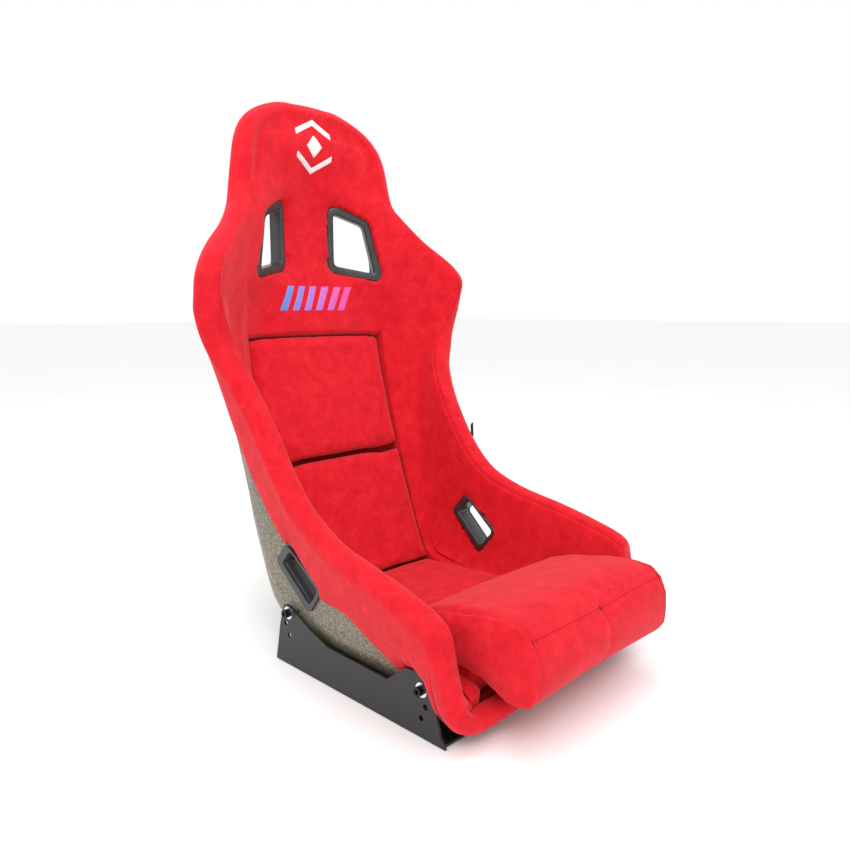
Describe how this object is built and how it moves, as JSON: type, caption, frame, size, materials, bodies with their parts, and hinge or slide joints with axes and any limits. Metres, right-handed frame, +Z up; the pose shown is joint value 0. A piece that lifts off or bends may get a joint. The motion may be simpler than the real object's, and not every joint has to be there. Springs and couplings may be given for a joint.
{
  "type": "racing seat",
  "caption": "Fixed-back bucket seat with padded side bolsters, harness slots, pull-off pads and bolted side brackets.",
  "frame": {"origin": "centre of the four floor bolt slots, on the underside of the bracket feet", "axes": "+Z up, -Y the way the seat faces, +X to the occupant's left; the shell and brackets mirror about X = 0"},
  "size_m": [0.5826, 0.6807, 0.9054],
  "materials": {
    "flake_shell": "dark bronze metal flake under clear coat",
    "red_suede": "micro-suede with a mottled nap",
    "liner_fabric": "flat brushed lining",
    "loop_tape": "hook and loop tape",
    "pad_foam": "open-cell foam",
    "bezel_plastic": "satin moulded plastic",
    "bracket_steel": "satin black powder coat",
    "black_bolt": "black oxide",
    "bright_washer": "bright plated",
    "insert_steel": "zinc plated",
    "tag_fabric": "woven tape",
    "emblem_thread": "satin stitch"
  },
  "bodies": {
    "shell_assembly": {"seat_shell": "flake_shell", "seat_liner": "liner_fabric", "loop_strips": "loop_tape", "shoulder_panel": "red_suede", "bolster_right": "red_suede", "bolster_left": "red_suede", "head_cover": "red_suede", "front_edge_cover": "red_suede", "shoulder_bezel_front_right": "bezel_plastic", "shoulder_bezel_front_left": "bezel_plastic", "shoulder_bezel_rear_right": "bezel_plastic", "shoulder_bezel_rear_left": "bezel_plastic", "lap_bezel_inner_right": "bezel_plastic", "lap_bezel_inner_left": "bezel_plastic", "lap_bezel_outer_right": "bezel_plastic", "lap_bezel_outer_left": "bezel_plastic", "side_bracket_right": "bracket_steel", "side_bracket_left": "bracket_steel", "side_bolts": "black_bolt", "bolt_washers": "bright_washer", "shell_inserts": "insert_steel", "side_tag": "tag_fabric", "head_emblem": "emblem_thread", "shoulder_emblem": "emblem_thread"},
    "upper_back_pad": {"upper_pad_cover": "red_suede", "upper_pad_foam": "pad_foam", "upper_pad_hook_strips": "loop_tape"},
    "lower_back_pad": {"lower_pad_cover": "red_suede", "lower_pad_foam": "pad_foam", "lower_pad_hook_strips": "loop_tape"},
    "seat_cushion": {"seat_pad_cover": "red_suede", "seat_pad_foam": "pad_foam", "seat_pad_hook_strips": "loop_tape", "thigh_bolster_cover": "red_suede", "thigh_bolster_foam": "pad_foam"}
  },
  "joints": [
    {"name": "upper_pad_pull", "type": "slide", "parent": "shell_assembly", "child": "upper_back_pad", "axis": [0, -0.9511, 0.309], "range_m": [0, 0.12]},
    {"name": "lower_pad_pull", "type": "slide", "parent": "shell_assembly", "child": "lower_back_pad", "axis": [0, -0.9511, 0.309], "range_m": [0, 0.12]},
    {"name": "cushion_pull", "type": "slide", "parent": "shell_assembly", "child": "seat_cushion", "axis": [0, -0.9511, 0.309], "range_m": [0, 0.12]}
  ]
}
